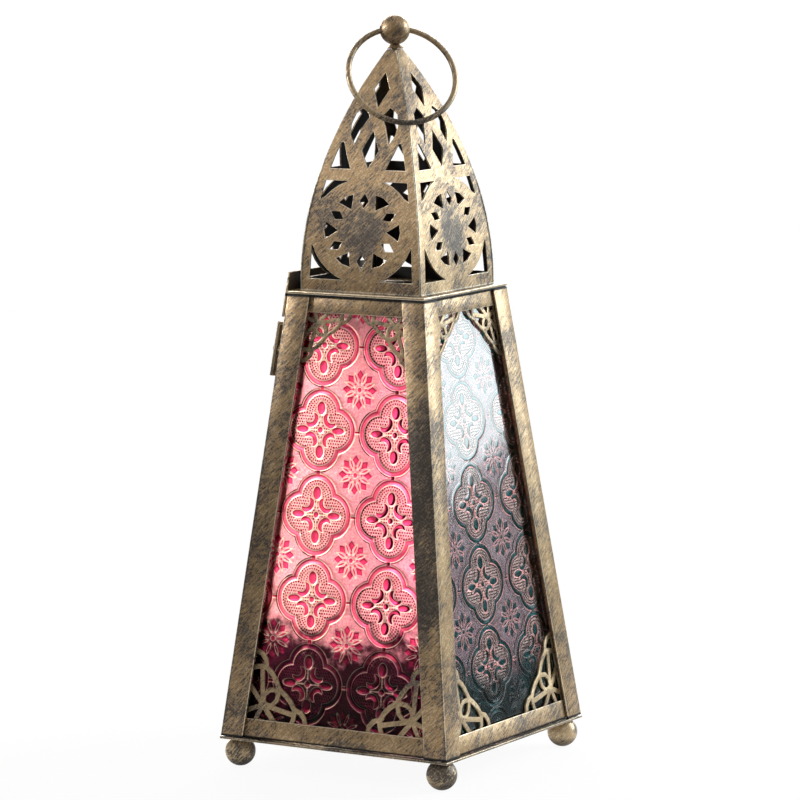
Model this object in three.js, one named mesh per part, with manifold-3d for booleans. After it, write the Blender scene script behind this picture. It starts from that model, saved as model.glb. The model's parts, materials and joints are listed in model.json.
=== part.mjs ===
// Square Moroccan candle lantern: a tapered glazed body on ball feet, a fretted
// dome, a hanging ring and one hinged glass door. Millimetres, +Z up, origin on
// the floor under the centre. Sides: front -Y, right +X, back +Y, door -X.
import * as THREE from 'three';
import { mergeVertices } from 'three/addons/utils/BufferGeometryUtils.js';
import Module from 'manifold-3d';

const wasm = await Module();
wasm.setup();

// Fits
const seam = 0.3; // gap between soldered or resting pieces
const swing = 0.9; // gap between the door sheet and the posts
const doorway = 1.0; // gap between the door glazing and its opening

// Feet and floor
const footRadius = 6.1;
const footInset = 5.7; // ball centre inside the body corner, along each side
const footFlat = 0.15; // depth of the flat that each ball stands on
const footTop = 11.0;
const floorThick = 0.9;
const floorOver = 0.25; // floor stands out past the foot of the body
const floorPanelIn = 9.5; // raised centre of the floor, inside the foot of the body

// Tapered body
const bodyHalfBottom = 53.05;
const bodyHalfTop = 31.85;
const bodyHeight = 177.0;
const sheet = 0.9; // folded metal of the posts
const flange = 10.3; // width of each post flange
const railThick = 0.8;
const railBottomHigh = 7.6;
const railTopHigh = 6.2;
const railLift = 0.4; // rail edges stand this far inside the post ends

// Pressed glass
const glassThick = 2.7;
const glassLap = 2.8; // glass hidden behind each flange
const glassSill = 5.0; // glass hidden behind each rail
const retainerThick = 0.6;
const retainerWide = 2.6;

// Fretted corner brackets
const fretThick = 0.7;
const fretLap = 2.4; // bracket hidden behind the frame
const fretRib = 1.9;
const fretRibTop = 1.6;
const fretReachBottom = 0.34; // reach as a share of the opening's width at the foot
const fretReachTop = 0.454; // and at the head
const fretTuck = 0.05; // share of the reach by which rib ends run under the frame
const fretSmooth = 0.05; // finest detail kept in the fretwork

// Roof plate and dome
const roofThick = 1.2;
const roofOver = 0.15; // roof plate stands out past the head of the body
const ventRadius = 21.0;
const domeInset = 3.95; // foot of the dome inside the body's head
const domeTopHalf = 2.3;
const domeSheet = 0.8;
const domeHeight = 94.5;
const domeBorder = 3.8;
const domeSill = 4.6; // solid strip at the foot of each panel

// Finial and ring
const finialRadius = 6.0;
const finialRise = 7.7; // ball centre above the dome's top edge
const collarRadius = 3.4;
const collarThick = 0.9;
const neckRadius = 1.8;
const stemRadius = 1.3;
const stemLong = 5.0;
const ringRadius = 21.5;
const ringWire = 1.1;

// Door
const doorSheet = 0.8;
const doorEdge = 0.8; // door edge inside the hinge post's corner
const doorCatchEdge = 6.4; // stile edge inside the catch post's corner
const stileHinge = 13.0;
const stileCatch = 7.8;
const doorFoot = 1.0;
const doorRailHigh = 9.4;
const doorHeadDrop = 9.3; // head strip starts this far below the post ends
const doorLipRise = 8.6; // and stands this far above them, past the roof plate

// Hinges and catch
const pinRadius = 0.6;
const pinHead = 0.4;
const knuckleRadius = 1.5;
const hingeLong = 24.0;
const hingeWide = 9.0;
const leafThick = 0.7;
const leafSeat = 0.45; // gap between a post leaf and the side of its post
const hingeAside = 1.0; // pin axis outside the corner
const hingeOut = 1.8; // pin axis in front of the posts
const hingeFoot = 24.0; // lower hinge above the post foot
const hingeDrop = 26.3; // upper hinge below the post end
const catchLong = 22.0;
const catchWide = 4.4;
const catchThick = 1.2;
const catchInset = 3.2; // rivet inside the corner
const catchDrop = 21.0; // rivet below the post end
const rivetRadius = 1.0;
const rivetHead = 1.9;
const rivetDome = 0.8;

// Sizes that follow from those above
const floorHalf = bodyHalfBottom + floorOver;
const roofHalf = bodyHalfTop + roofOver;
const domeHalf = bodyHalfTop - domeInset;
const domeCurve = domeHalf - domeTopHalf;
const domeArc = (domeHeight ** 2 + domeCurve ** 2) / (2 * domeCurve); // radius of the ogive
const floorBottom = footTop + seam;
const floorTop = floorBottom + floorThick;
const bodyBottom = floorTop + seam;
const bodyTop = bodyBottom + bodyHeight;
const roofBottom = bodyTop + seam;
const roofTop = roofBottom + roofThick;
const domeBottom = roofTop + seam;
const domeTop = domeBottom + domeHeight;
const ballHeight = domeTop + finialRise;
const taper = bodyHalfBottom - bodyHalfTop;
const slant = Math.hypot(bodyHeight, taper);
const lean = Math.atan2(taper, bodyHeight);
const drift = taper / slant; // inward shift of an edge per slant length
const edgeTurn = Math.atan(drift);
const railDepth = sheet + seam;
const fretDepth = railDepth + railThick + seam;
const glassDepth = fretDepth + fretThick + seam;
const railStart = railLift;
const railEnd = railStart + railBottomHigh;
const headEnd = slant - railLift;
const headStart = headEnd - railTopHigh;
const doorHeadStart = slant - doorHeadDrop;
const doorLip = slant + doorLipRise;
const catchAlong = slant - catchDrop;
const hingeSpots = { hinge_bottom: hingeFoot, hinge_top: slant - hingeDrop };
const sides = ['front', 'right', 'back', 'door'];
const quarter = Math.PI / 2;

const brass = { color: 0x8c7350, roughness: 0.42, metalness: 0.85 };
const darkBrass = { color: 0x5d5142, roughness: 0.5, metalness: 0.8 };
const wornBrass = { color: 0xa98d63, roughness: 0.38, metalness: 0.9 };
const glassTint = { front: 0xd9346f, right: 0x2c7f85, back: 0xb3243f, door: 0xd08a2c };

const lantern = new THREE.Group();

function addMesh(parent, name, geometry, finish) {
  const mesh = new THREE.Mesh(geometry, new THREE.MeshStandardMaterial(finish));
  mesh.name = name;
  parent.add(mesh);
  return mesh;
}

// Booleans
function toSolid(geometry) {
  const plain = geometry.clone();
  for (const key of Object.keys(plain.attributes)) {
    if (key !== 'position') plain.deleteAttribute(key);
  }
  const merged = mergeVertices(plain, 1e-4);
  return new wasm.Manifold(new wasm.Mesh({
    numProp: 3,
    vertProperties: new Float32Array(merged.attributes.position.array),
    triVerts: new Uint32Array(merged.index.array),
  }));
}

function toGeometry(solid) {
  const { vertProperties, triVerts } = solid.getMesh();
  const geometry = new THREE.BufferGeometry();
  geometry.setAttribute('position', new THREE.BufferAttribute(vertProperties, 3));
  geometry.setIndex(new THREE.BufferAttribute(triVerts, 1));
  geometry.computeVertexNormals();
  return geometry;
}

function joined(geometries) {
  const solids = geometries.map(toSolid);
  return solids.reduce((sum, next) => sum.add(next));
}

// Shapes
function outline(points) {
  return new THREE.Shape(points.map(([x, y]) => new THREE.Vector2(x, y)));
}

function plate(shape, thick, base = 0) {
  const geometry = new THREE.ExtrudeGeometry(shape, {
    depth: thick, bevelEnabled: false, curveSegments: 10,
  });
  return geometry.translate(0, 0, base);
}

// A solid between two rings of points that share one plan order
function loft(low, high) {
  const plan = low.map(([x, y]) => new THREE.Vector2(x, y));
  const count = low.length;
  const faces = [];
  for (const [a, b, c] of THREE.ShapeUtils.triangulateShape(plan, [])) {
    faces.push(c, b, a, a + count, b + count, c + count);
  }
  for (let i = 0; i < count; i += 1) {
    const next = (i + 1) % count;
    faces.push(i, next, next + count, i, next + count, i + count);
  }
  const geometry = new THREE.BufferGeometry();
  geometry.setAttribute('position', new THREE.Float32BufferAttribute([...low, ...high].flat(), 3));
  geometry.setIndex(faces);
  geometry.computeVertexNormals();
  return geometry;
}

function cylinder(radius, low, high, segments = 20) {
  const geometry = new THREE.CylinderGeometry(radius, radius, high - low, segments);
  return geometry.rotateX(quarter).translate(0, 0, (low + high) / 2);
}

function box(x0, x1, y0, y1, z0, z1) {
  const geometry = new THREE.BoxGeometry(x1 - x0, y1 - y0, z1 - z0);
  return geometry.translate((x0 + x1) / 2, (y0 + y1) / 2, (z0 + z1) / 2);
}

// A profile of radius and height points turned about Z
function turned(profile, segments) {
  const points = profile.map(([x, y]) => new THREE.Vector2(x, y));
  return new THREE.LatheGeometry(points, segments).rotateX(quarter);
}

// Half width of a tapered side at a slant height
function edgeAt(v) {
  return bodyHalfBottom - drift * v;
}

// Four-cornered plate between two slant heights, inset from each post corner
function slab(v0, v1, insetLeft, insetRight) {
  return outline([
    [-(edgeAt(v0) - insetLeft), v0],
    [edgeAt(v0) - insetRight, v0],
    [edgeAt(v1) - insetRight, v1],
    [-(edgeAt(v1) - insetLeft), v1],
  ]);
}

// A group whose X runs along a side, Y up its slope and Z straight out of it
function sideGroup(index) {
  const facing = new THREE.Group();
  facing.rotation.z = index * quarter;
  const tilted = new THREE.Group();
  tilted.position.set(0, -bodyHalfBottom, bodyBottom);
  tilted.rotation.x = quarter - lean;
  facing.add(tilted);
  lantern.add(facing);
  return tilted;
}

// Floor and feet
function addFloor() {
  const panel = bodyHalfBottom - floorPanelIn;
  const floor = joined([
    box(-floorHalf, floorHalf, -floorHalf, floorHalf, floorBottom, floorTop),
    box(-panel, panel, -panel, panel, floorBottom, bodyBottom),
  ]);
  addMesh(lantern, 'base_plate', toGeometry(floor), darkBrass);
}

function footProfile() {
  const centre = footRadius - footFlat;
  const points = [[0, 0]];
  const start = -Math.asin(centre / footRadius);
  const end = Math.asin((footTop - centre) / footRadius);
  const steps = 9;
  for (let i = 0; i <= steps; i += 1) {
    const angle = start + (end - start) * (i / steps);
    points.push([footRadius * Math.cos(angle), centre + footRadius * Math.sin(angle)]);
  }
  return [...points, [0, footTop]];
}

function addFeet() {
  const spread = bodyHalfBottom - footInset;
  const corners = { front_left: [-1, -1], front_right: [1, -1], back_right: [1, 1], back_left: [-1, 1] };
  for (const [name, [x, y]] of Object.entries(corners)) {
    const ball = turned(footProfile(), 20);
    const foot = addMesh(lantern, `foot_${name}`, ball, brass);
    foot.position.set(x * spread, y * spread, 0);
  }
}

// Folded corner posts
function postRing(half, level) {
  const thick = sheet / Math.cos(lean);
  const wide = flange / Math.cos(edgeTurn);
  return [
    [half, -half], [half, -half + wide], [half - thick, -half + wide],
    [half - thick, -half + thick], [half - wide, -half + thick], [half - wide, -half],
  ].map(([x, y]) => [x, y, level]);
}

function addPosts() {
  const names = ['front_right', 'back_right', 'back_left', 'front_left'];
  names.forEach((name, index) => {
    const post = loft(postRing(bodyHalfBottom, bodyBottom), postRing(bodyHalfTop, bodyTop));
    addMesh(lantern, `post_${name}`, post, brass).rotation.z = index * quarter;
  });
}

// Fretwork of one corner bracket, drawn in a right-angled corner
function ribShape(start, middle, end, wide) {
  const curve = new THREE.QuadraticBezierCurve(
    new THREE.Vector2(...start),
    new THREE.Vector2(2 * middle[0] - (start[0] + end[0]) / 2, 2 * middle[1] - (start[1] + end[1]) / 2),
    new THREE.Vector2(...end),
  );
  const steps = 3;
  const left = [];
  const right = [];
  for (let i = 0; i <= steps; i += 1) {
    const point = curve.getPoint(i / steps);
    const along = curve.getTangent(i / steps);
    const across = new THREE.Vector2(-along.y, along.x).multiplyScalar(wide / 2);
    left.push(point.clone().add(across));
    right.unshift(point.clone().sub(across));
  }
  return new THREE.Shape([...left, ...right]);
}

function midpoint(a, b) {
  return [(a[0] + b[0]) / 2, (a[1] + b[1]) / 2];
}

// Rib centre lines on one half of the bracket, as shares of its reach: the hub
// near the corner, the tip on the diagonal and the notch between two lobes
const hub = [0.211, 0.211];
const tip = [0.446, 0.446];
const notch = [0.736, 0.187];
const halfRibs = [
  [[0.97, -fretTuck], [0.892, 0.118], notch],
  [notch, [0.63, 0.317], tip],
  [notch, [0.75, 0.085], [0.715, -fretTuck]],
  [hub, [0.44, 0.165], [0.72, 0.113]],
  [hub, [0.394, 0.236], tip],
  [hub, midpoint(hub, [0.107, -fretTuck]), [0.107, -fretTuck]],
  [hub, midpoint(hub, [0.465, -fretTuck]), [0.465, -fretTuck]],
];

function bracket(reach, rib, cornerLean) {
  const swap = ([x, y]) => [y, x];
  const scaled = ([x, y]) => [x * reach, y * reach];
  const pieces = [];
  for (const line of halfRibs) {
    for (const placed of [line, line.map(swap)]) {
      const [start, middle, end] = placed.map(scaled);
      pieces.push(plate(ribShape(start, middle, end, rib), fretThick));
    }
  }
  const heart = new THREE.Shape().absarc(hub[0] * reach, hub[1] * reach, rib, 0, 2 * Math.PI);
  pieces.push(plate(heart, fretThick));
  const edge = 0.01 * reach - fretTuck * reach;
  pieces.push(box(-fretLap, reach, -fretLap, edge, 0, fretThick));
  pieces.push(box(-fretLap, edge, -fretLap, reach, 0, fretThick));
  const trim = toSolid(box(-fretLap, reach, -fretLap, reach, -1, fretThick + 1));
  const geometry = toGeometry(joined(pieces).intersect(trim).asOriginal().simplify(fretSmooth));
  const shear = new THREE.Matrix4().set(1, cornerLean, 0, 0, 0, 1, 0, 0, 0, 0, 1, 0, 0, 0, 0, 1);
  return geometry.applyMatrix4(shear);
}

// Mirrored copy with its faces still pointing out
function mirrored(geometry, x, y) {
  const copy = geometry.clone();
  copy.scale(x, y, 1);
  if (x * y < 0) {
    const index = copy.index.array;
    for (let i = 0; i < index.length; i += 3) {
      [index[i], index[i + 1]] = [index[i + 1], index[i]];
    }
    copy.computeVertexNormals();
  }
  return copy;
}

function clearWidth(v, insetLeft, insetRight) {
  return 2 * edgeAt(v) - insetLeft - insetRight;
}

const bracketBottom = bracket(fretReachBottom * clearWidth(railEnd, flange, flange), fretRib, drift);
const bracketTop = bracket(fretReachTop * clearWidth(headStart, flange, flange), fretRibTop, -drift);
const doorWidth = clearWidth(doorHeadStart, doorEdge + stileHinge, doorCatchEdge + stileCatch);
const bracketDoor = bracket(fretReachTop * doorWidth, fretRibTop, -drift);

// The four brackets of one side, set in the corners of its clear opening
function addBrackets(parent, side, low, high, insetLeft, insetRight, depth) {
  const head = side === 'door' ? bracketDoor : bracketTop;
  const corners = [
    ['bottom_left', -1, 1, low, insetLeft, bracketBottom],
    ['bottom_right', 1, 1, low, insetRight, bracketBottom],
    ['top_left', -1, -1, high, insetLeft, head],
    ['top_right', 1, -1, high, insetRight, head],
  ];
  for (const [name, x, y, level, inset, fret] of corners) {
    const piece = addMesh(parent, `bracket_${side}_${name}`, mirrored(fret, -x, y), brass);
    piece.position.set(x * (edgeAt(level) - inset), level, -depth - fretThick);
  }
}

// A flat glazing frame behind a pane
function frameShape(v0, v1, left, right, sill, head) {
  const shape = slab(v0, v1, left, right);
  const inner = slab(v0 + sill, v1 - head, left + retainerWide, right + retainerWide);
  shape.holes.push(new THREE.Path(inner.getPoints().reverse()));
  return shape;
}

// Rails at the foot and head of a side, between the posts
function addRails(parent, side) {
  const inset = railDepth + railThick + seam;
  const rails = { bottom_rail: [railStart, railEnd], top_rail: [headStart, headEnd] };
  for (const [name, [low, high]] of Object.entries(rails)) {
    const rail = plate(slab(low, high, inset, inset), railThick, -railDepth - railThick);
    addMesh(parent, `${name}_${side}`, rail, brass);
  }
}

// A pane and the frame that holds it, behind a face at a depth inside the side
function addPane(parent, side, low, high, inset, lap, depth) {
  const tint = { color: glassTint[side], roughness: 0.08, metalness: 0, transparent: true, opacity: 0.6 };
  const pane = plate(slab(low, high, inset, inset), glassThick, -depth - glassThick);
  addMesh(parent, `glass_${side}`, pane, tint);
  const back = depth + glassThick + seam;
  const frame = frameShape(low, high, inset, inset, lap, lap);
  addMesh(parent, `retainer_${side}`, plate(frame, retainerThick, -back - retainerThick), darkBrass);
}

function addGlazing(parent, side) {
  const low = railEnd - glassSill;
  const high = headStart + glassSill;
  addPane(parent, side, low, high, flange - glassLap, glassSill, glassDepth);
  addBrackets(parent, side, railEnd, headStart, flange, flange, fretDepth);
}

// Door leaf: four strips, glass, retainer and brackets
function addDoor(parent) {
  const stileEnd = doorHeadStart - seam;
  const hingeInner = doorEdge + stileHinge;
  const catchInner = doorCatchEdge + stileCatch;
  const sill = doorFoot + doorRailHigh;
  const strip = (name, shape) => addMesh(parent, name, plate(shape, doorSheet, swing), brass);
  const stile = (side, outer, inner) => outline([
    [side * (edgeAt(doorFoot) - outer), doorFoot],
    [side * (edgeAt(stileEnd) - outer), stileEnd],
    [side * (edgeAt(stileEnd) - inner), stileEnd],
    [side * (edgeAt(doorFoot) - inner), doorFoot],
  ]);
  strip('door_stile_hinge', stile(-1, doorEdge, hingeInner));
  strip('door_stile_catch', stile(1, doorCatchEdge, catchInner));
  strip('door_bottom_rail', slab(doorFoot, sill, hingeInner + seam, catchInner + seam));
  strip('door_head_lip', slab(doorHeadStart, doorLip, doorEdge, doorEdge));

  const fretBase = seam - swing;
  const glassFace = fretBase + fretThick + seam;
  addPane(parent, 'door', railEnd + doorway, headStart - doorway, flange + doorway, retainerWide, glassFace);
  addBrackets(parent, 'door', sill, doorHeadStart, hingeInner, catchInner, fretBase);
}

// A group along a post edge of the door side: X into the side, Y up the edge
function edgeGroup(parent, mirror) {
  const group = new THREE.Group();
  group.position.set(mirror * bodyHalfBottom, 0, 0);
  group.rotation.z = mirror * edgeTurn;
  parent.add(group);
  return group;
}

// Butt hinge: a post leaf with two knuckles, a door leaf with one, and a pin
function addHinge(parent, name, along) {
  const axis = new THREE.Group();
  axis.position.set(-hingeAside, along, hingeOut);
  axis.rotation.x = -quarter;
  parent.add(axis);
  const third = hingeLong / 3;
  const bore = pinRadius + seam;
  const knuckle = (low, high) => cylinder(knuckleRadius, low, high);
  const hole = toSolid(cylinder(bore, -1, hingeLong + 1));
  const leafTop = hingeOut - swing - doorSheet - seam - leafThick;
  const doorLeaf = joined([
    box(0, hingeWide + hingeAside, leafTop, leafTop + leafThick, third + seam / 2, 2 * third - seam / 2),
    knuckle(third + seam / 2, 2 * third - seam / 2),
  ]).subtract(hole);
  addMesh(axis, `${name}_door_leaf`, toGeometry(doorLeaf), wornBrass);
  const seat = hingeAside - leafSeat;
  const postLeaf = joined([
    box(seat - leafThick, seat, 0, hingeOut + hingeWide, 0, hingeLong),
    knuckle(0, third - seam / 2),
    knuckle(2 * third + seam / 2, hingeLong),
  ]);
  const clear = toSolid(cylinder(knuckleRadius + seam, third - seam / 2, 2 * third + seam / 2));
  addMesh(axis, `${name}_post_leaf`, toGeometry(postLeaf.subtract(hole).subtract(clear)), darkBrass);
  const pinEnd = hingeLong + seam + pinHead;
  const head = cylinder(2 * pinRadius, hingeLong + seam, pinEnd);
  const pin = joined([cylinder(pinRadius, 0, pinEnd - pinHead / 2), head]);
  addMesh(axis, `${name}_pin`, toGeometry(pin), wornBrass);
}

// Turn catch on the other post: a strip with one bent end, on a rivet
function addCatch(parent) {
  const spot = new THREE.Group();
  spot.position.set(-catchInset, catchAlong, 0);
  parent.add(spot);
  const under = swing + doorSheet + seam;
  const half = catchLong / 2;
  const hole = toSolid(cylinder(rivetRadius + seam, under - 1, under + catchThick + 1));
  const strip = joined([
    box(-catchWide / 2, catchWide / 2, -half, half, under, under + catchThick),
    box(-catchWide / 2, catchWide / 2, half - catchThick, half, 2 * seam, under + catchThick / 2),
  ]).subtract(hole);
  addMesh(spot, 'catch_strip', toGeometry(strip), darkBrass);
  const over = under + catchThick + seam;
  const rivet = turned([
    [0, seam], [rivetHead, seam], [rivetHead, under - seam], [rivetRadius, under - seam],
    [rivetRadius, over], [rivetHead, over], [0.75 * rivetHead, over + 0.7 * rivetDome],
    [0, over + rivetDome],
  ], 20);
  addMesh(spot, 'catch_rivet', rivet, wornBrass);
}

// Roof plate with the vent under the dome
function addRoof() {
  const square = outline([
    [-roofHalf, -roofHalf], [roofHalf, -roofHalf], [roofHalf, roofHalf], [-roofHalf, roofHalf],
  ]);
  square.holes.push(new THREE.Path().absarc(0, 0, ventRadius, 0, 2 * Math.PI, true));
  addMesh(lantern, 'roof_plate', plate(square, roofThick, roofBottom), brass);
}

// Half width of the dome at a height above its foot
function domeHalfAt(rise) {
  return domeHalf - (domeArc - Math.sqrt(domeArc ** 2 - rise ** 2));
}

// Fretwork of one dome panel. Outlines are drawn in shares of the dome's half
// width and height, and placed in width and rise
function placed([across, up]) {
  return [across * domeHalf, up * domeHeight];
}

const roseRise = 0.254 * domeHeight; // centre of the rose above the panel's foot
const roseOuter = placed([0.85, 0.22]);
const roseInner = placed([0.624, 0.158]);
const crossLow = 0.46; // cross band over the rose
const crossHigh = 0.509;
const cornerWidth = 0.4; // width at which the rose's corner openings end
const cornerDrop = 1.2;
const diamonds = [
  { low: 0.512, wide: 0.143, middle: 0.586, high: 0.669 },
  { low: 0.76, wide: 0.133, middle: 0.838, high: 0.906 },
];
// Between the cross band, the border and the arms beside the low diamond
const shoulderOpening = [
  [0.29, crossHigh], [0.631, crossHigh], [0.559, 0.576],
  [0.498, 0.618], [0.452, 0.618], [0.38, 0.565],
];
// Between the border and the arms that cross over the low diamond
const crownOpening = [
  [0.287, 0.61], [0.373, 0.65], [0.394, 0.692], [0.344, 0.737],
  [0.208, 0.764], [0.1, 0.726], [0.186, 0.684],
];

function onRose(size, angle, share) {
  return [
    size[0] * share * Math.sin(angle),
    roseRise + size[1] * share * Math.cos(angle),
  ];
}

function roseOpenings() {
  const openings = [];
  const sector = Math.PI / 3;
  const spread = THREE.MathUtils.degToRad(13);
  const lozenge = THREE.MathUtils.degToRad(9);
  for (let i = 0; i < 6; i += 1) {
    const radial = i * sector;
    openings.push([
      onRose(roseInner, radial, 0.6), onRose(roseInner, radial + lozenge, 0.8),
      onRose(roseInner, radial, 1), onRose(roseInner, radial - lozenge, 0.8),
    ]);
    const between = radial + sector / 2;
    openings.push([
      onRose(roseInner, between, 0.64), onRose(roseInner, between + 0.55 * spread, 0.8),
      onRose(roseInner, between + spread, 1), onRose(roseInner, between, 1.02),
      onRose(roseInner, between - spread, 1), onRose(roseInner, between - 0.55 * spread, 0.8),
    ]);
  }
  return openings;
}

function borderAt(rise) {
  return domeHalfAt(rise) - domeBorder;
}

// Corner opening between the rose, the border and a level strip
function spandrel(level, toward) {
  const reach = Math.abs(level - roseRise) / roseOuter[1];
  const start = Math.asin(Math.min(1, reach));
  const steps = 7;
  const points = [[borderAt(level), level]];
  for (let i = 0; i <= steps; i += 1) {
    const angle = start * (1 - i / steps);
    const x = roseOuter[0] * Math.cos(angle);
    const rise = roseRise + toward * roseOuter[1] * Math.sin(angle);
    if (x > borderAt(rise) - cornerWidth) break;
    points.push([x, rise]);
  }
  const end = points.at(-1)[1] - toward * cornerDrop;
  return [...points, [borderAt(end), end]];
}

function diamond({ low, wide, middle, high }) {
  return [[0, low], [wide, middle], [0, high], [-wide, middle]].map(placed);
}

// Openings on the right half of a panel; the left half mirrors them
function sideOpenings() {
  return [
    spandrel(domeSill, -1),
    spandrel(crossLow * domeHeight, 1),
    shoulderOpening.map(placed),
    crownOpening.map(placed),
  ];
}

// The curved sheet of one panel, mitred against its neighbours
function panelSheet() {
  const rows = 14;
  const rings = [];
  for (let i = 0; i <= rows; i += 1) {
    const rise = domeHeight * (i / rows);
    const half = domeHalfAt(rise);
    const level = domeBottom + rise;
    const edge = half - seam / 2;
    const inner = edge - domeSheet;
    rings.push([
      [-edge, -half, level], [edge, -half, level],
      [inner, -half + domeSheet, level], [-inner, -half + domeSheet, level],
    ]);
  }
  const faces = [];
  for (let row = 0; row < rows; row += 1) {
    const a = row * 4;
    for (let i = 0; i < 4; i += 1) {
      const next = (i + 1) % 4;
      faces.push(a + i, a + next, a + 4 + next, a + i, a + 4 + next, a + 4 + i);
    }
  }
  const top = rows * 4;
  faces.push(0, 2, 1, 0, 3, 2, top, top + 1, top + 2, top, top + 2, top + 3);
  const geometry = new THREE.BufferGeometry();
  geometry.setAttribute('position', new THREE.Float32BufferAttribute(rings.flat(2), 3));
  geometry.setIndex(faces);
  return geometry;
}

// A straight punch through the panel, from an outline in width and rise
function punch(points) {
  const depth = domeHalf + 2;
  const geometry = plate(outline(points), depth);
  return geometry.rotateX(quarter).translate(0, 0, domeBottom);
}

function addDome() {
  const openings = [...roseOpenings(), ...diamonds.map(diamond)];
  for (const points of sideOpenings()) {
    openings.push(points, points.map(([x, y]) => [-x, y]).reverse());
  }
  let panel = toSolid(panelSheet());
  for (const points of openings) {
    panel = panel.subtract(toSolid(punch(points)));
  }
  const geometry = toGeometry(panel.asOriginal().simplify(fretSmooth));
  sides.forEach((side, index) => {
    addMesh(lantern, `dome_panel_${side}`, geometry.clone(), brass).rotation.z = index * quarter;
  });
}

// Ball finial on a collar and stem, bored for the ring
const sagitta = ringRadius - Math.sqrt(ringRadius ** 2 - finialRadius ** 2);
const boreRadius = ringWire + sagitta / 2 + seam;

function addFinial() {
  const collarLow = domeTop + seam - ballHeight;
  const profile = [
    [0, collarLow - stemLong], [stemRadius, collarLow - stemLong], [stemRadius, collarLow],
    [collarRadius, collarLow], [0.8 * collarRadius, collarLow + collarThick],
  ];
  const start = -Math.acos(neckRadius / finialRadius);
  const steps = 11;
  for (let i = 0; i < steps; i += 1) {
    const angle = start + (quarter - start) * (i / steps);
    profile.push([finialRadius * Math.cos(angle), finialRadius * Math.sin(angle)]);
  }
  profile.push([0, finialRadius]);
  const bore = cylinder(boreRadius, -finialRadius - 1, finialRadius + 1);
  bore.rotateX(quarter).rotateZ(-quarter / 2);
  const finial = toSolid(turned(profile, 24)).subtract(toSolid(bore));
  addMesh(lantern, 'finial', toGeometry(finial), wornBrass).position.z = ballHeight;
}

// Lean at which the ring comes to rest on the front right ridge
function ringLean() {
  const reach = 2 * ringRadius - sagitta / 2;
  let low = 0;
  let high = quarter;
  for (let i = 0; i < 40; i += 1) {
    const angle = (low + high) / 2;
    const away = reach * Math.sin(angle);
    const rise = ballHeight - reach * Math.cos(angle) - domeBottom;
    const slope = Math.atan2(rise, Math.sqrt(domeArc ** 2 - rise ** 2));
    const ridge = Math.SQRT2 * domeHalfAt(rise);
    const gap = (away - ridge) * Math.cos(Math.atan(Math.SQRT2 * Math.tan(slope)));
    if (gap < ringWire + seam) low = angle;
    else high = angle;
  }
  return high;
}

function addRing() {
  const pivot = new THREE.Group();
  pivot.position.z = ballHeight;
  pivot.rotation.z = quarter / 2;
  const hung = new THREE.Group();
  hung.rotation.x = -ringLean();
  pivot.add(hung);
  lantern.add(pivot);
  const torus = new THREE.TorusGeometry(ringRadius, ringWire, 8, 48).rotateX(quarter);
  addMesh(hung, 'ring', torus, wornBrass).position.z = -(ringRadius - sagitta / 2);
}

addFloor();
addFeet();
addPosts();
sides.forEach((side, index) => {
  const group = sideGroup(index);
  addRails(group, side);
  if (side !== 'door') {
    addGlazing(group, side);
    return;
  }
  addDoor(group);
  const hingeEdge = edgeGroup(group, -1);
  for (const [name, along] of Object.entries(hingeSpots)) addHinge(hingeEdge, name, along);
  addCatch(edgeGroup(group, 1));
});
addRoof();
addDome();
addFinial();
addRing();

export default lantern;
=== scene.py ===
import json
import math

import bmesh
import bpy
from mathutils import Matrix, Vector

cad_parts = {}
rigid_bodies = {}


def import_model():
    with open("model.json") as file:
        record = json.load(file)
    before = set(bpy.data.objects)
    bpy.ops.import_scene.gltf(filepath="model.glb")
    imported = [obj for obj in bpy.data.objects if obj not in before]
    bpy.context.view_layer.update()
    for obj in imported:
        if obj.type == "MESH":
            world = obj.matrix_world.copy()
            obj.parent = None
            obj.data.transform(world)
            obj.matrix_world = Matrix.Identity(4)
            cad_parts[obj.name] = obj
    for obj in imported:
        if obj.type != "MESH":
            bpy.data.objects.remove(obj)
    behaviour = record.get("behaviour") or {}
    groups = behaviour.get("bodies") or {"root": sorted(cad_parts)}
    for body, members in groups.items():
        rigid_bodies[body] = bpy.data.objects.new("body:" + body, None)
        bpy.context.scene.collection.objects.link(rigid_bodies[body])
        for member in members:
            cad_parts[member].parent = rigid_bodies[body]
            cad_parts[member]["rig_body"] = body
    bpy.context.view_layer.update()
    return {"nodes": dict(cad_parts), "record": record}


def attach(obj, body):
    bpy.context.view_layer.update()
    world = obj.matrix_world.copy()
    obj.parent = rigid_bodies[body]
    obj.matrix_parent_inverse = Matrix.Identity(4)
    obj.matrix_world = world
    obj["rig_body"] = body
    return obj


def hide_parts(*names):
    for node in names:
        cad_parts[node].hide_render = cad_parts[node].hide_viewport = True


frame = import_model()
scene = bpy.context.scene
mm = 0.001

cameraView = {"place": (0.94577, -1.51604, 0.38292), "look": (-0.52447, 0.84115, -0.13187), "roll": -0.01109,
              "lens": 202.2, "film": 36.0}


def placeCamera(view):
    look = Vector(view["look"]).normalized()
    right = look.cross(Vector((0, 0, 1))).normalized()
    up = right.cross(look)
    side = right * math.cos(view["roll"]) + up * math.sin(view["roll"])
    top = up * math.cos(view["roll"]) - right * math.sin(view["roll"])
    data = bpy.data.cameras.new("camera")
    data.lens, data.sensor_width, data.clip_start, data.clip_end = view["lens"], view["film"], 0.01, 50
    camera = bpy.data.objects.new("camera", data)
    turn = Matrix((side, top, -look)).transposed().to_4x4()
    camera.matrix_world = Matrix.Translation(view["place"]) @ turn
    scene.collection.objects.link(camera)
    scene.camera = camera


placeCamera(cameraView)
scene.view_settings.view_transform = "Standard"


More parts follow.
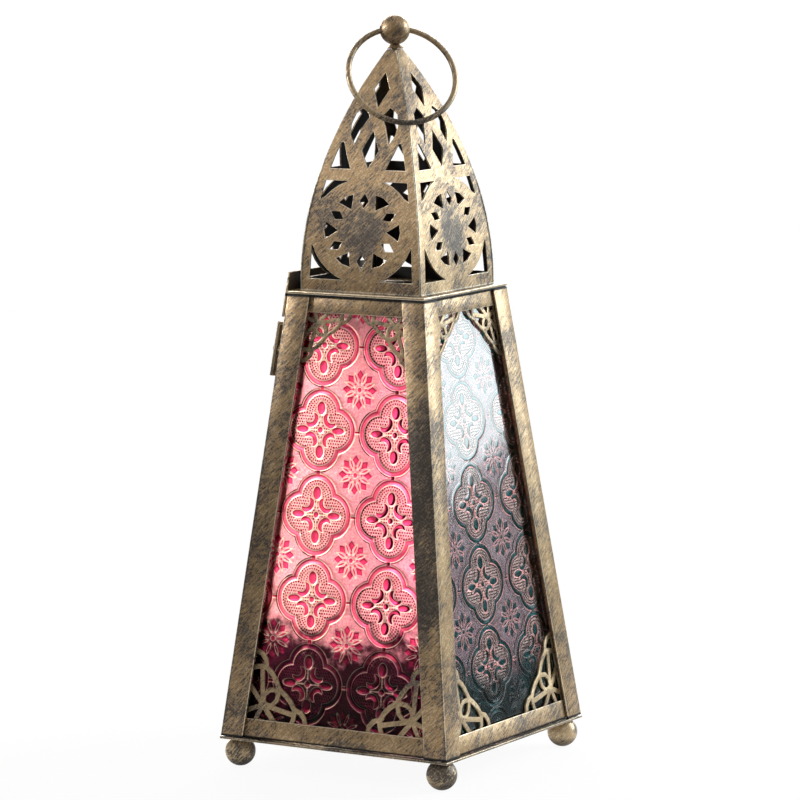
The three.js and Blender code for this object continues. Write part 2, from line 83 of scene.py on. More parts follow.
class Field:  # a value that varies over a surface; sums of fields become chains of math nodes
    def __init__(self, tree, socket):
        self.tree, self.socket = tree, socket

    def math(self, kind, *others, clamp=False):
        return mathNode(self.tree, kind, self, *others, clamp=clamp)

    def __add__(self, other):
        return self.math("ADD", other)

    def __sub__(self, other):
        return self.math("SUBTRACT", other)

    def __rsub__(self, other):
        return mathNode(self.tree, "SUBTRACT", other, self)

    def __mul__(self, other):
        return self.math("MULTIPLY", other)

    def __truediv__(self, other):
        return self.math("DIVIDE", other)

    def __abs__(self):
        return self.math("ABSOLUTE")

    def least(self, other):
        return self.math("MINIMUM", other)

    def most(self, other):
        return self.math("MAXIMUM", other)

    def power(self, other):
        return self.math("POWER", other)

    def wrap(self, low, high):
        return self.math("WRAP", high, low)

    def clamp(self):
        return self.math("ADD", 0.0, clamp=True)

    def rise(self, low, high):  # 0 below low, 1 above high, eased between
        share = ((self - low) / (high - low)).clamp()
        return share * share * (3.0 - share * 2.0)


Field.__radd__, Field.__rmul__ = Field.__add__, Field.__mul__


def mathNode(tree, kind, *values, clamp=False):
    node = tree.nodes.new("ShaderNodeMath")
    node.operation, node.use_clamp = kind, clamp
    for socket, value in zip(node.inputs, values):
        if isinstance(value, Field):
            tree.links.new(value.socket, socket)
        else:
            socket.default_value = value
    return Field(tree, node.outputs[0])


def hypot(a, b):
    return (a * a + b * b).math("SQRT")


def parts(tree, socket):  # x, y and z of a vector
    node = tree.nodes.new("ShaderNodeSeparateXYZ")
    tree.links.new(socket, node.inputs[0])
    return [Field(tree, out) for out in node.outputs]


def vector(tree, *values):
    node = tree.nodes.new("ShaderNodeCombineXYZ")
    for socket, value in zip(node.inputs, values):
        if isinstance(value, Field):
            tree.links.new(value.socket, socket)
        else:
            socket.default_value = value
    return node.outputs[0]


def noise(tree, place, scale, detail=2.0, rough=0.5, twist=0.0):
    node = tree.nodes.new("ShaderNodeTexNoise")
    tree.links.new(place, node.inputs["Vector"])
    for name, value in (("Scale", scale), ("Detail", detail), ("Roughness", rough), ("Distortion", twist)):
        node.inputs[name].default_value = value
    return Field(tree, node.outputs[0])


def blendColour(tree, share, first, second):
    node = tree.nodes.new("ShaderNodeMix")
    node.data_type = "RGBA"
    for index, value in ((0, share), (6, first), (7, second)):
        if isinstance(value, Field):
            tree.links.new(value.socket, node.inputs[index])
        elif isinstance(value, bpy.types.NodeSocket):
            tree.links.new(value, node.inputs[index])
        elif index:
            node.inputs[index].default_value = (*value, 1)
        else:
            node.inputs[index].default_value = value
    return node.outputs[2]


socketKinds = {tuple: "NodeSocketColor", int: "NodeSocketInt", float: "NodeSocketFloat"}


def addSockets(tree, way, **kinds):
    for name, value in kinds.items():
        kind = socketKinds.get(type(value), value)
        socket = tree.interface.new_socket(name=name, in_out=way, socket_type=kind)
        if isinstance(value, tuple):
            socket.default_value = (*value, 1)
        elif isinstance(value, (int, float)):
            socket.default_value = value


studio = {"cameraSide": 0.56, "backSide": 0.95, "sky": 0.75, "shadowShare": 0.07,
          "darkWay": (0.527, 0.85), "paneSpot": (0.042, 0, 0.12), "paneNormal": (0.993, 0, 0.119),
          "panelSize": (0.62, 0.36), "panelPower": 5.4, "panelReach": 1.5, "panelEdge": 0.236,
          "panelFoot": 0.218, "panelLean": -0.5, "panelTint": (0.87, 1.0, 1.02),
          "sideSize": (0.62, 0.8), "sideEdge": 0.034, "sideFoot": 0.452, "sidePower": 27.0,
          "sideTint": (0.91, 1.02, 1.13),
          "upperPlace": (-0.88, -0.47, 0.55), "upperAim": (0, -0.02, 0.276), "upperPower": 78.0,
          "upperSpread": 0.21, "upperSoft": 0.12,
          "behindSize": (9.0, 6.0), "behindPower": 1450.0, "behindReach": 9.5}


def lightWorld(values):
    world = bpy.data.worlds.new("studio")
    scene.world = world
    world.use_nodes = True
    tree = world.node_tree
    tree.nodes.clear()
    place = tree.nodes.new("ShaderNodeTexCoord")
    x, y, z = parts(tree, place.outputs["Generated"])
    look = Vector(cameraView["look"][:2]).normalized()
    behind = (x * look.x + y * look.y).rise(0.5, 0.9)
    level = behind * (values["backSide"] - values["cameraSide"]) + values["cameraSide"]
    level = level + z.rise(0.2, 0.9) * (values["sky"] - values["cameraSide"]) * 0.6
    rays = tree.nodes.new("ShaderNodeLightPath")
    seen = Field(tree, rays.outputs["Is Camera Ray"]).most(Field(tree, rays.outputs["Is Transmission Ray"]))
    glossy = Field(tree, rays.outputs["Is Glossy Ray"])
    seen = seen.most(glossy * behind)
    # this way the room that metal and glass mirror is darker
    dark = values["darkWay"]
    level = level * (1.0 - glossy * (x * dark[0] + y * dark[1]).rise(0.8, 0.95) * 0.85)
    background = tree.nodes.new("ShaderNodeBackground")
    tree.links.new((level * (1.0 - seen) + seen).socket, background.inputs["Strength"])
    out = tree.nodes.new("ShaderNodeOutputWorld")
    tree.links.new(background.outputs[0], out.inputs[0])


def hangLamps(values):  # first the white panel that the teal pane mirrors
    pane = Vector(values["paneSpot"])
    toCamera = (Vector(cameraView["place"]) - pane).normalized()
    normal = Vector(values["paneNormal"])
    away = 2 * normal.dot(toCamera) * normal - toCamera
    away.z = 0
    away.normalize()
    across = Vector((away.y, -away.x, 0))  # to the right as the camera sees it
    wide, high = values["panelSize"]
    corner = pane + away * values["panelReach"] - across * values["panelEdge"]
    corner.z = values["panelFoot"]
    up = Vector((0, 0, 1))
    lean = Matrix.Rotation(-values["panelLean"], 3, away)
    middle = corner + lean @ (across * wide / 2 + up * high / 2)
    addPanel("panel", middle, away, lean @ across, wide, high, values["panelPower"], values["panelTint"])
    # the stronger lamp above it lights the right side and is too high for the pane to mirror
    corner += across * (values["panelEdge"] - values["sideEdge"])
    corner.z = values["sideFoot"]
    wide, high = values["sideSize"]
    middle = corner + across * wide / 2 + up * high / 2
    addPanel("side", middle, away, across, wide, high, values["sidePower"], values["sideTint"])
    # a second one straight behind shines through the panes
    back = Vector(cameraView["look"])
    back.z = 0
    back.normalize()
    wide, high = values["behindSize"]
    centre = back * values["behindReach"] + Vector((0, 0, high / 2))
    aside = Vector((back.y, -back.x, 0))
    addPanel("behind", centre, back, aside, wide, high, values["behindPower"], (1, 1, 1))
    # and a spot from the left lifts the upper part of the front
    data = bpy.data.lights.new("upper", "SPOT")
    data.energy, data.spot_size = values["upperPower"], values["upperSpread"]
    data.spot_blend, data.shadow_soft_size = 1.0, values["upperSoft"]
    lamp = bpy.data.objects.new("upper", data)
    place, aim = Vector(values["upperPlace"]), Vector(values["upperAim"])
    turn = (aim - place).to_track_quat("-Z", "Y").to_matrix().to_4x4()
    lamp.matrix_world = Matrix.Translation(place) @ turn
    lamp.visible_camera = False
    scene.collection.objects.link(lamp)


def addPanel(name, centre, away, along, wide, high, power, tint):
    data = bpy.data.lights.new(name, "AREA")
    data.color = tint
    data.shape, data.size, data.size_y, data.energy = "RECTANGLE", wide, high, power
    lamp = bpy.data.objects.new(name, data)
    turn = Matrix((along, away.cross(along), away)).transposed().to_4x4()
    lamp.matrix_world = Matrix.Translation(centre) @ turn
    lamp.visible_camera = False
    scene.collection.objects.link(lamp)


def layFloor(values):
    mesh = bpy.data.meshes.new("floor")
    mesh.from_pydata([(-20, -20, 0), (20, -20, 0), (20, 20, 0), (-20, 20, 0)], [], [(0, 1, 2, 3)])
    floor = bpy.data.objects.new("floor", mesh)
    scene.collection.objects.link(floor)
    paper = bpy.data.materials.new("whitePaper")
    paper.use_nodes = True
    tree = paper.node_tree
    tree.nodes.clear()
    rays = tree.nodes.new("ShaderNodeLightPath")
    seen = Field(tree, rays.outputs["Is Camera Ray"]).most(Field(tree, rays.outputs["Is Transmission Ray"]))
    place = tree.nodes.new("ShaderNodeTexCoord")
    x, y = parts(tree, place.outputs["Object"])[:2]
    look = Vector(cameraView["look"][:2]).normalized()
    # the white sweep runs away from the camera; beside it metal and glass mirror the dark room
    sweep = (1.0 - abs(x * look.y - y * look.x).rise(0.12, 0.3)) * (x * look.x + y * look.y).rise(-0.5, -0.1)
    paperTone = Field(tree, rays.outputs["Is Camera Ray"]).most(sweep) * 0.85 + 0.05
    seen = seen.most(Field(tree, rays.outputs["Is Glossy Ray"]) * sweep)
    lit = tree.nodes.new("ShaderNodeBsdfDiffuse")
    tree.links.new(vector(tree, paperTone, paperTone, paperTone), lit.inputs[0])
    glow = tree.nodes.new("ShaderNodeEmission")
    mix = tree.nodes.new("ShaderNodeMixShader")
    out = tree.nodes.new("ShaderNodeOutputMaterial")
    tree.links.new((seen * (1.0 - values["shadowShare"])).socket, mix.inputs[0])
    tree.links.new(lit.outputs[0], mix.inputs[1])
    tree.links.new(glow.outputs[0], mix.inputs[2])
    tree.links.new(mix.outputs[0], out.inputs[0])
    mesh.materials.append(paper)


lightWorld(studio)
hangLamps(studio)
layFloor(studio)
print("camera, light and floor ready")


# brush strokes as slope, count across and count along per metre; the plain numbers are spots per metre
brush = {"strokes": (0.68, 1700.0, 330.0), "wide": (0.62, 560.0, 190.0), "crossing": (-0.7, 1700.0, 420.0),
         "fine": 1500.0, "cloud": 62.0}
# where the patina and the painted shade differ, in metres: each pair is where it starts and where it is full
marks = {"postAcross": (0.024, 0.033), "postOut": (0.01, 0.02), "postFoot": (0.03, 0.08),
         "postHead": (0.135, 0.18), "footSeam": (0.01225, 0.0124), "footSeamEnd": (0.0131, 0.0138),
         "roofSeam": (0.1884, 0.189), "roofSeamEnd": (0.18985, 0.1899), "roseMiddle": 0.2155,
         "rose": (0.005, 0.0125), "domeFoot": (0.2, 0.2005), "foldShade": (0.0003, 0.0013),
         "foldHead": (0.18, 0.188), "domeInside": (0.186, 0.19), "footShade": (0.001, 0.006)}


def agedBrassGroup():
    tree = bpy.data.node_groups.new("agedBrass", "ShaderNodeTree")
    addSockets(tree, "INPUT", Dark=(0.05, 0.04, 0.032), Brass=(0.35, 0.225, 0.108),
               Bright=(0.72, 0.55, 0.34), Grey=(0.09, 0.088, 0.09), Cover=0.0, Strokes=1.0, Clouds=1.0)
    addSockets(tree, "OUTPUT", Color="NodeSocketColor", Roughness="NodeSocketFloat",
               Height="NodeSocketFloat")
    given = tree.nodes.new("NodeGroupInput")
    out = tree.nodes.new("NodeGroupOutput")
    pick = {name: given.outputs[name] for name in ("Dark", "Brass", "Bright", "Grey")}
    names = ("Cover", "Strokes", "Clouds")
    cover, strokesBy, cloudsBy = (Field(tree, given.outputs[name]) for name in names)
    place = tree.nodes.new("ShaderNodeTexCoord")
    x, y, z = parts(tree, place.outputs["Object"])
    nx, ny = parts(tree, place.outputs["Normal"])[:2]
    along = x + y
    aside = (x - y) * 0.25

    def brushed(turn, thin, long):  # strokes that climb to the right on every side
        c, s = math.cos(turn), math.sin(turn)
        spot = vector(tree, (along * c + z * s) * long, (z * c - along * s) * thin, aside * long)
        return noise(tree, spot, 1.0, 3.0, 0.6) - 0.5

    strokes, wide, crossing = (brushed(*brush[name]) for name in ("strokes", "wide", "crossing"))
    fine = noise(tree, place.outputs["Object"], brush["fine"], 2.0, 0.6) - 0.5
    cloud = noise(tree, place.outputs["Object"], brush["cloud"], 3.0, 0.55) - 0.5
    # the near post's front is made darker, and a painted shade sits in the seams under roof and rails
    front = (ny * -1.0).rise(0.5, 0.8)
    post = front * x.rise(*marks["postAcross"]) * (y * -1.0).rise(*marks["postOut"])
    post = post * z.rise(*marks["postFoot"]) * (1.0 - z.rise(*marks["postHead"]))
    seam = (1.0 - z.rise(*marks["footSeamEnd"])) * z.rise(*marks["footSeam"])
    seam = seam.most(z.rise(*marks["roofSeam"]) * (1.0 - z.rise(*marks["roofSeamEnd"])))
    # the middle of each rose of the dome has more patina, and the corners of the posts get a painted shade
    # along the bend
    rose = 1.0 - hypot(abs(x).least(abs(y)), z - marks["roseMiddle"]).rise(*marks["rose"])
    rose = rose * z.rise(*marks["domeFoot"])
    foldShade = 1.0 - abs(abs(x) - abs(y)).rise(*marks["foldShade"])
    foldShade = foldShade * front * (1.0 - z.rise(*marks["foldHead"]))
    patinaAndShade = post.most(rose).most(foldShade * 0.7)
    smoke = (cloud * 3.0 * cloudsBy + wide * 2.4 * strokesBy + strokes * 2.6 * strokesBy + fine * 2.6
             + patinaAndShade * 0.8 - cover + 0.22).rise(0.0, 0.8)
    black = (cloud * 2.0 * cloudsBy + strokes * 2.8 * strokesBy + crossing * 2.4 * strokesBy + fine * 2.6
             + patinaAndShade * 0.45 - cover - 0.14).rise(0.0, 0.6)
    shine = (strokes * -2.4 + crossing * 1.6 + cloud * -1.0 + fine * 2.6 + 0.02).rise(0.0, 0.7)
    colour = blendColour(tree, shine * 0.6, pick["Brass"], pick["Bright"])
    colour = blendColour(tree, smoke * 0.72, colour, pick["Grey"])
    colour = blendColour(tree, black * 0.8, colour, pick["Dark"])
    # painted shade: the inside of the dome is black and the inside of the body a little darker, and the feet
    # darken towards the floor
    inward = ((nx * x + ny * y) * -1.0 / (hypot(x, y) + 0.004)).rise(0.35, 0.7)
    paintedShade = (inward * (0.1 + z.rise(*marks["domeInside"]) * 0.9)).most(seam)
    paintedShade = paintedShade.most((1.0 - z.rise(*marks["footShade"])) * 0.75)
    colour = blendColour(tree, paintedShade, colour, (0.012, 0.011, 0.010))
    tree.links.new(colour, out.inputs["Color"])
    tree.links.new((0.42 + smoke * 0.12 + paintedShade * 0.2 - shine * 0.06).socket, out.inputs["Roughness"])
    tree.links.new((strokes * 1.2 + fine * 0.5 - smoke * 0.4).socket, out.inputs["Height"])
    return tree


brassTree = agedBrassGroup()


def brass(name, metallic=0.5, bump=0.00003, **values):
    material = bpy.data.materials.new(name)
    material.use_nodes = True
    tree = material.node_tree
    shader = tree.nodes["Principled BSDF"]
    shader.inputs["Metallic"].default_value = metallic
    group = tree.nodes.new("ShaderNodeGroup")
    group.node_tree = brassTree
    for key, value in values.items():
        group.inputs[key].default_value = (*value, 1) if isinstance(value, tuple) else value
    rough = tree.nodes.new("ShaderNodeBump")
    rough.inputs["Strength"].default_value = 1.0
    rough.inputs["Distance"].default_value = bump
    tree.links.new(group.outputs["Color"], shader.inputs["Base Color"])
    tree.links.new(group.outputs["Roughness"], shader.inputs["Roughness"])
    tree.links.new(group.outputs["Height"], rough.inputs["Height"])
    tree.links.new(rough.outputs["Normal"], shader.inputs["Normal"])
    return material


antiqueBrass = brass("antiqueBrass")
darkBrass = brass("darkBrass", Cover=-0.15, Brass=(0.27, 0.2, 0.12))
wornBrass = brass("wornBrass", Cover=0.15, Clouds=0.6)
rubbedEdge = brass("rubbedEdge", Cover=0.25, Brass=(0.8, 0.66, 0.46), Bright=(0.95, 0.88, 0.72),
                   Strokes=0.7)
frettedBrass = brass("frettedBrass", Cover=0.08, Brass=(0.4, 0.28, 0.15), Strokes=0.8)
solder = brass("solder", Cover=0.1, Brass=(0.42, 0.36, 0.26), Bright=(0.95, 0.9, 0.8), Strokes=0.5)
slotMetal = {"antique_brass": antiqueBrass, "dark_brass": darkBrass, "worn_brass": wornBrass}
print("metal ready")

# sizes in mm; an oval is its distance from the middle, half its length and half its width
pressing = {"lobeOut": 7.0, "lobe": 7.1, "band": 0.9, "bandOut": 1.15, "dotPitch": 1.15, "fine": 0.5,
            "leafAcross": (8.3, 2.75, 1.35), "leafUp": (8.7, 2.5, 1.8), "hook": (4.8, 4.5), "hookReach": 2.6,
            "hookThick": 0.95, "hookLong": 3.2, "hookEnd": 0.4, "heart": 1.1, "barAcross": (1.1, 0.35),
            "barUp": (0.7, 0.8), "crossFrom": 1.7, "crossAcross": (5.6, 0.12), "crossUp": (6.2, 0.16),
            "arrowTip": 7.9, "arrowFoot": 3.2, "slit": (4.8, 1.4, 0.36), "spokeDot": (2.9, 0.45),
            "flowerHeart": 0.9}


def oval(along, aside, size, scale):
    away, long, wide = size
    return (hypot((along - away) / long, aside / wide) - 1.0) * scale


# distances in mm to the pressed shapes, below 0 inside them; x and y run from the middle of a medallion
def medallion(x, y, cellWide, cellHigh):
    p = pressing
    ax, ay = abs(x), abs(y)
    far, near = ax.most(ay), ax.least(ay)
    beyond = (far - p["lobeOut"]).most(0.0)
    rim = hypot(beyond, near) - p["lobe"]
    leaves = oval(ax, ay, p["leafAcross"], 1.4).least(oval(ay, ax, p["leafUp"], 1.8))
    hookX, hookY = ax - p["hook"][0], ay - p["hook"][1]
    outward = (hookX + hookY) * 0.7071
    taper = ((outward + p["hookReach"]) / p["hookLong"]).power(2.0) * p["hookThick"]
    hook = abs(hypot(hookX, hookY) - p["hookReach"]) - (p["hookThick"] - taper)
    hook = hook.most(outward - p["hookEnd"])
    heart = hypot(x, y) - p["heart"]
    barAcross = (cellWide * 0.5 - ax - p["barAcross"][0]).most(ay - p["barAcross"][1])
    barUp = (cellHigh * 0.5 - ay - p["barUp"][0]).most(ax - p["barUp"][1])
    solid = leaves.least(hook).least(heart).least(barAcross).least(barUp)

    def arm(along, aside, size):
        return (aside - size[1]).most(along - size[0]).most(p["crossFrom"] - along)

    cross = arm(ax, ay, p["crossAcross"]).least(arm(ay, ax, p["crossUp"]))
    return {"rim": rim, "ring": rim - p["bandOut"], "solid": solid, "cross": cross, "far": far, "near": near,
            "beyond": beyond, "x": x, "y": y, "ax": ax, "ay": ay}


def flower(x, y):  # eight arrowheads with slits and dots between them
    p = pressing
    reach, turn = hypot(x, y), y.math("ARCTAN2", x)
    eighth = math.pi / 8
    spoke = turn.wrap(-eighth, eighth)
    sx, sy = reach * spoke.math("COSINE"), abs(reach * spoke.math("SINE"))
    headWide = ((sx - p["arrowFoot"]) / 2.4).most(0.0).power(1.5) * 1.2
    headWide = ((p["arrowTip"] - sx) * 0.8).least(headWide)
    arrow = (sy - headWide) * 0.8
    between = (turn + eighth).wrap(-eighth, eighth)
    bx, by = reach * between.math("COSINE"), abs(reach * between.math("SINE"))
    slit = oval(bx, by, p["slit"], 0.4)
    dot = hypot(sx - p["spokeDot"][0], sy) - p["spokeDot"][1]
    return {"arrow": arrow, "fine": slit.least(reach - p["flowerHeart"]), "dot": dot}


def stipple(shape, rows):  # level rows of points that turn round the ends of the lobes
    p = pressing
    pitch = p["dotPitch"]

    def lattice(row, run, radius):
        here = row.math("FLOOR")
        step = (run * radius(here) if radius else run) + here * 0.5
        wave = (step * (2 * math.pi)).math("SINE") * 0.13 * rows
        return hypot((row + wave).math("FRACT") - 0.5, (step.math("FRACT") - 0.5) * (1.0 - rows * 0.75))

    level = lattice(shape["ay"] / pitch, shape["ax"] / pitch, None)
    bend = shape["near"].math("ARCTAN2", shape["beyond"].most(0.0001))
    straight = (shape["far"] - p["lobeOut"]).least(0.0)
    along = bend * p["lobe"] - straight
    shrink = pitch * 0.6 / p["lobe"]
    turning = lattice(shape["rim"] / pitch, along / pitch, lambda here: 1.0 + here * shrink)
    atEnd = (shape["ay"] - p["lobeOut"]).math("GREATER_THAN", 0.0).most(
        shape["rim"].math("GREATER_THAN", -1.02 * pitch))
    return level + (turning - level) * atEnd


def pressedShapes(u, v, cellWide, cellHigh):
    x, y = u.wrap(cellWide * -0.5, cellWide * 0.5), v.wrap(cellHigh * -0.5, cellHigh * 0.5)
    shape = medallion(x, y, cellWide, cellHigh)
    fx = (u + cellWide * 0.5).wrap(cellWide * -0.5, cellWide * 0.5)
    fy = (v + cellHigh * 0.5).wrap(cellHigh * -0.5, cellHigh * 0.5)
    shape.update(flower(fx, fy))
    band = abs(shape["ring"]) - pressing["band"]
    high = 1.0 - band.least(shape["solid"]).rise(-0.65, 0.5)
    low = 1.0 - shape["arrow"].least(shape["fine"]).least(shape["dot"]).rise(-0.5, 0.4)
    shape["raised"] = high.most(low * 0.4)
    return shape


def finish(tree, geometry, material):
    smooth = tree.nodes.new("GeometryNodeSetShadeSmooth")
    real = tree.nodes.new("GeometryNodeRealizeInstances")
    paint = tree.nodes.new("GeometryNodeSetMaterial")
    out = tree.nodes.new("NodeGroupOutput")
    tree.links.new(geometry, smooth.inputs["Geometry"])
    tree.links.new(smooth.outputs[0], real.inputs[0])
    tree.links.new(real.outputs[0], paint.inputs["Geometry"])
    tree.links.new(material, paint.inputs["Material"])
    tree.links.new(paint.outputs[0], out.inputs[0])
    return tree


def paneTree():
    tree = bpy.data.node_groups.new("pressedPane", "GeometryNodeTree")
    addSockets(tree, "INPUT", **{
        "Foot Half": 45.0, "Head Half": 24.0, "Foot": 3.0, "Head": 176.0, "Cell Wide": 34.0,
        "Cell High": 34.0, "Centre Across": 0.0, "Centre Up": 0.0, "Relief": 0.1, "Steps Across": 150,
        "Steps Up": 320, "Material": "NodeSocketMaterial"})
    addSockets(tree, "OUTPUT", Geometry="NodeSocketGeometry")
    given = tree.nodes.new("NodeGroupInput")
    value = {socket.name: Field(tree, socket) for socket in given.outputs}
    grid = tree.nodes.new("GeometryNodeMeshGrid")
    grid.inputs["Size X"].default_value = grid.inputs["Size Y"].default_value = 1.0
    tree.links.new(value["Steps Across"].socket, grid.inputs["Vertices X"])
    tree.links.new(value["Steps Up"].socket, grid.inputs["Vertices Y"])
    place = tree.nodes.new("GeometryNodeInputPosition")
    px, py = parts(tree, place.outputs[0])[:2]
    share = py + 0.5
    u = px * 2.0 * (value["Foot Half"] + (value["Head Half"] - value["Foot Half"]) * share)
    v = value["Foot"] + (value["Head"] - value["Foot"]) * share
    pattern = pressedShapes(u - value["Centre Across"], v - value["Centre Up"], value["Cell Wide"],
                            value["Cell High"])
    high = (pattern["raised"] - 1.0) * value["Relief"]
    keep = tree.nodes.new("GeometryNodeStoreNamedAttribute")
    keep.data_type, keep.domain = "FLOAT_VECTOR", "POINT"
    keep.inputs["Name"].default_value = "paneSpot"
    tree.links.new(grid.outputs["Mesh"], keep.inputs["Geometry"])
    tree.links.new(vector(tree, u, v, 1.0), keep.inputs["Value"])
    move = tree.nodes.new("GeometryNodeSetPosition")
    tree.links.new(keep.outputs[0], move.inputs["Geometry"])
    tree.links.new(vector(tree, u * mm, v * mm, high * mm), move.inputs["Position"])
    return finish(tree, move.outputs[0], value["Material"].socket)


def plainMesh(carrier):
    graph = bpy.context.evaluated_depsgraph_get()
    return bpy.data.meshes.new_from_object(carrier.evaluated_get(graph), preserve_all_data_layers=True,
                                           depsgraph=graph)


def growMesh(name, tree, **values):  # runs a node tree once and keeps its result as a plain mesh
    carrier = bpy.data.objects.new(name + "Carrier", bpy.data.meshes.new(name + "Carrier"))
    scene.collection.objects.link(carrier)
    grower = carrier.modifiers.new("grow", "NODES")
    grower.node_group = tree
    for item in tree.interface.items_tree:
        if item.in_out == "INPUT" and item.name in values:
            grower[item.identifier] = values[item.name]
    mesh = plainMesh(carrier)
    carrier.modifiers.remove(grower)
    bpy.data.objects.remove(carrier)
    mesh.name = name
    piece = bpy.data.objects.new(name, mesh)
    scene.collection.objects.link(piece)
    return piece


def closeBack(mesh, depth):
    work = bmesh.new()
    work.from_mesh(mesh)
    rim = [edge for edge in work.edges if edge.is_boundary]
    for edge in rim:
        edge.smooth = False
    grown = bmesh.ops.extrude_edge_only(work, edges=rim)["geom"]
    spot = work.verts.layers.float_vector["paneSpot"]
    for item in grown:
        if isinstance(item, bmesh.types.BMVert):
            item.co.z = -depth
            item[spot] = (item[spot].x, item[spot].y, 0)
        elif isinstance(item, bmesh.types.BMFace):
            item.smooth = False
    back = [edge for edge in work.edges if edge.is_boundary]
    for edge in back:
        edge.smooth = False
    for face in bmesh.ops.holes_fill(work, edges=back, sides=0)["faces"]:
        face.smooth = False
    bmesh.ops.recalc_face_normals(work, faces=work.faces)
    work.to_mesh(mesh)
    work.free()


body = {"halfFoot": 53.05, "drift": 0.118924, "foot": 12.5, "lean": math.atan2(21.2, 177)}
sideTurn = {"front": 0, "right": 1, "back": 2, "door": 3}


def sideFrame(side):  # from a side's own flat frame, x across, y up the slope and z out of it
    return Matrix.Rotation(sideTurn[side] * math.pi / 2, 4, "Z") \
        @ Matrix.Translation((0, -body["halfFoot"] * mm, body["foot"] * mm)) \
        @ Matrix.Rotation(math.pi / 2 - body["lean"], 4, "X")


# pressed lines and lines of painted highlight and painted shade, in mm: distance from the middle of the band
# or from a shape's edge, half width, softness
lines = {"bandShade": (0.5, 0.3, 0.25), "shapeShade": (-0.22, 0.2, 0.14), "bandOut": (1.1, 0.15),
         "bandIn": (-1.12, 0.15), "shape": (0.28, 0.14), "slit": (0.25, 0.14), "grooveOut": (1.5, 0.16),
         "grooveIn": (-1.45, 0.12), "shadowOut": (1.45, 0.28), "shadowIn": (-1.4, 0.3)}


